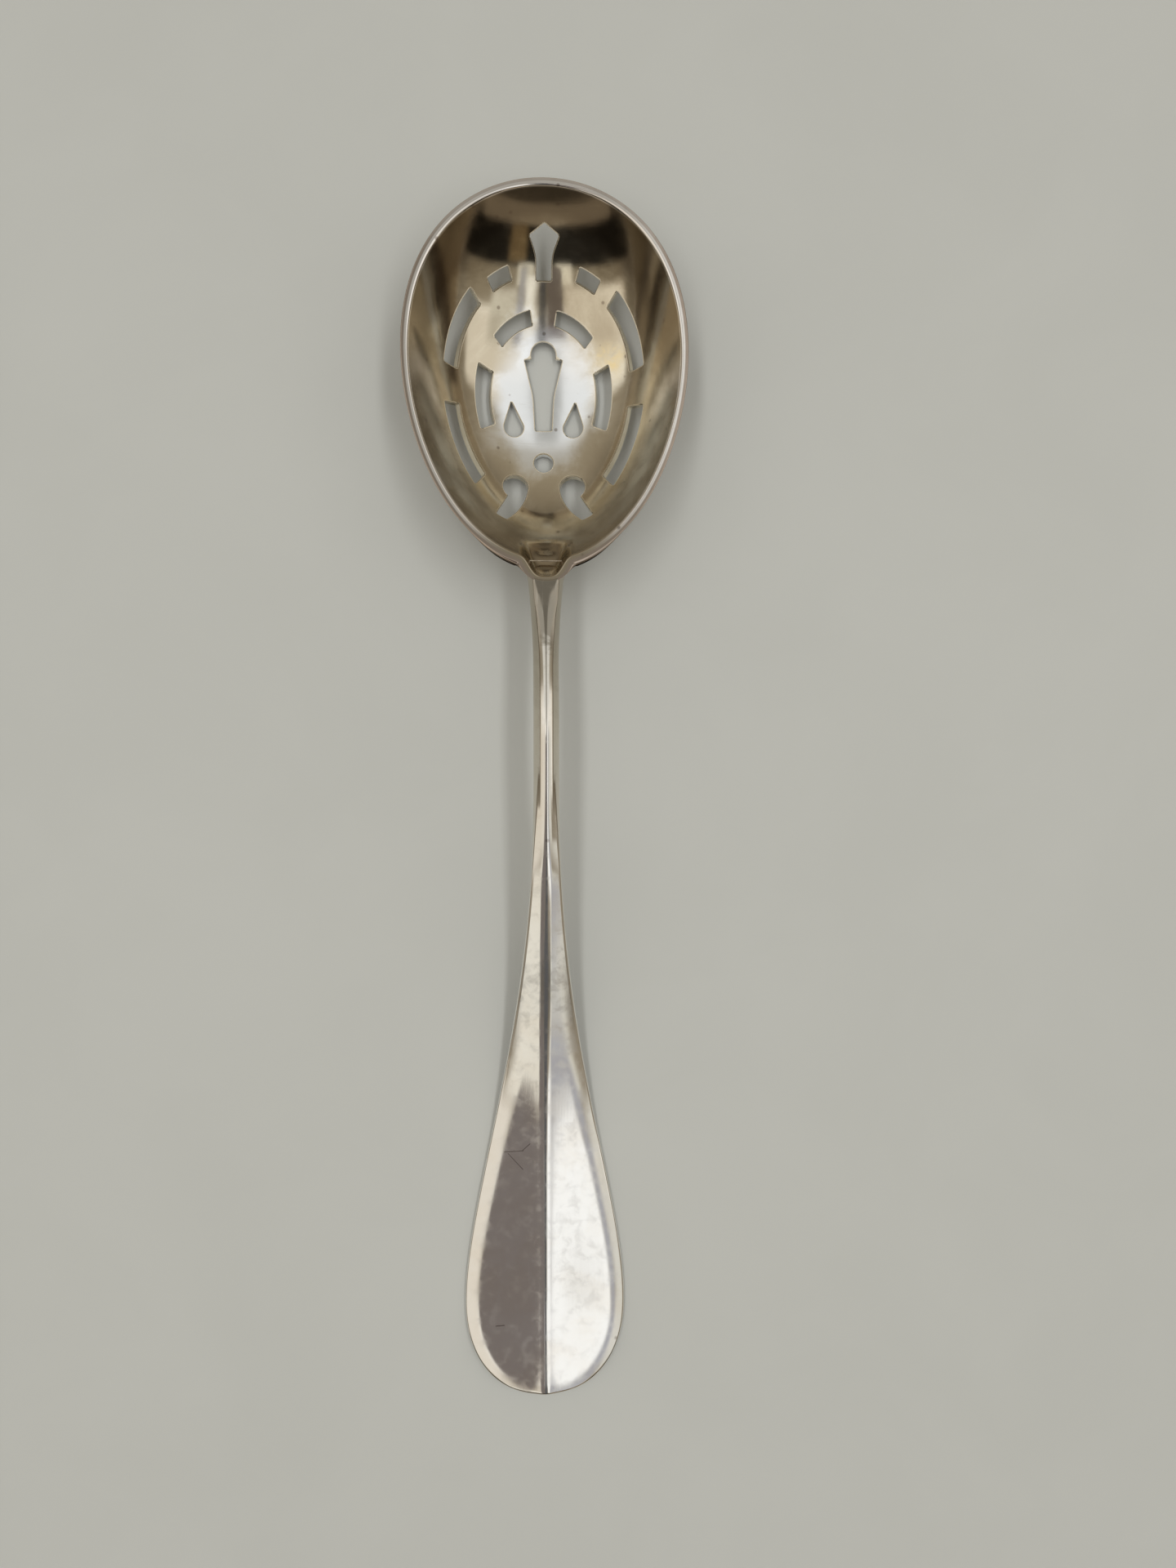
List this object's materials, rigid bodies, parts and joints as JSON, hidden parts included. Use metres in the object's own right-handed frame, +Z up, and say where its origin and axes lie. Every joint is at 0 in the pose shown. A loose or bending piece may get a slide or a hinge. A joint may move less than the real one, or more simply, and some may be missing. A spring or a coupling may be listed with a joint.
{
  "type": "olive spoon",
  "caption": "Long silver-plated serving spoon with a deep egg-shaped pierced bowl, a slender arched stem and a ridged, flaring flat end; lifts olives and lets the brine drain.",
  "frame": {"origin": "centre of the spoon's length and width, on the table it lies on", "axes": "+Y along the spoon from the handle's tip to the tip of the bowl, +Z up out of the open bowl, +X across"},
  "size_m": [0.0458, 0.2, 0.0186],
  "materials": {
    "bowl_silver": "polished silver plate, toned warm brown by tarnish inside the bowl",
    "handle_silver": "polished silver plate with fine lengthwise wear scratches",
    "solder": "dull silver solder, plated over"
  },
  "bodies": {
    "root": {"pierced_bowl": "bowl_silver", "handle": "handle_silver", "solder_seam": "solder"}
  },
  "joints": []
}
